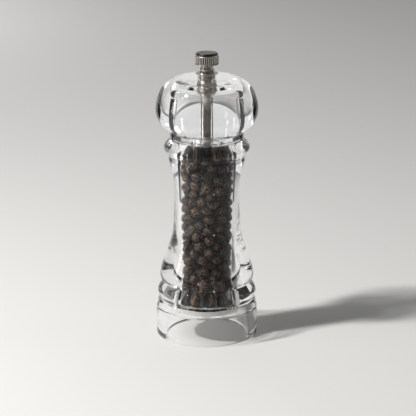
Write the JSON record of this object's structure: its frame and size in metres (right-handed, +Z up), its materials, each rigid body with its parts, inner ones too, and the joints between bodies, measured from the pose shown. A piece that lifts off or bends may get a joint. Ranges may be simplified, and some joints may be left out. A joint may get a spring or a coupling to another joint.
{
  "type": "pepper mill",
  "caption": "Clear acrylic hand pepper mill: turning the head spins a ceramic burr on a steel shaft, and a fluted top nut sets the grind.",
  "frame": {"origin": "centre of the foot, on the table", "axes": "+Z up along the shaft; -Y is the side that faces the viewer; the mill is round about Z"},
  "size_m": [0.0534, 0.0534, 0.152],
  "materials": {
    "clear_acrylic": "polished clear acrylic",
    "nylon_ring": "clear nylon",
    "brushed_stainless": "turned and brushed stainless steel",
    "pressed_stainless": "pressed stainless sheet",
    "burr_ceramic": "fired white ceramic",
    "white_nylon": "moulded white nylon",
    "spring_steel": "spring wire",
    "acetal": "natural acetal",
    "zinc_screw": "zinc-plated steel"
  },
  "bodies": {
    "case": {"body_shell": "clear_acrylic", "slip_ring": "nylon_ring", "bridge_cage": "white_nylon", "bridge_bush": "acetal", "stator_ring": "burr_ceramic", "retaining_plate": "white_nylon", "lower_bush": "acetal", "plate_screws": "zinc_screw"},
    "drive": {"spring_washer": "pressed_stainless"},
    "spindle": {"shaft": "brushed_stainless", "rotor": "burr_ceramic", "rotor_washer": "pressed_stainless", "rotor_clip": "spring_steel", "spring": "spring_steel"},
    "head": {"head_shell": "clear_acrylic", "head_plug": "clear_acrylic", "drive_bushing": "brushed_stainless", "bushing_collar": "brushed_stainless"},
    "nut_seat": {"finial_flange": "brushed_stainless"},
    "top_nut": {"finial_knob": "brushed_stainless"}
  },
  "joints": [
    {"name": "mill_turn", "type": "hinge", "parent": "case", "child": "drive", "pos_m": [0, 0, 0.1065], "axis": [0, 0, 1], "continuous": true},
    {"name": "burr_gap", "type": "slide", "parent": "drive", "child": "spindle", "axis": [0, 0, 1], "range_m": [-0.0008, 0.0008], "deforming": ["spring"]},
    {"name": "head_lift", "type": "slide", "parent": "drive", "child": "head", "axis": [0, 0, 1], "range_m": [0, 0.05]},
    {"name": "finial_lift", "type": "slide", "parent": "head", "child": "nut_seat", "axis": [0, 0, 1], "range_m": [0, 0.02]},
    {"name": "finial_turn", "type": "hinge", "parent": "nut_seat", "child": "top_nut", "pos_m": [0, 0, 0.1432], "axis": [0, 0, 1], "range_deg": [-360, 360]}
  ],
  "couplings": [
    {"joint": "finial_turn", "follows": "burr_gap", "rad_per_m": -7854}
  ]
}
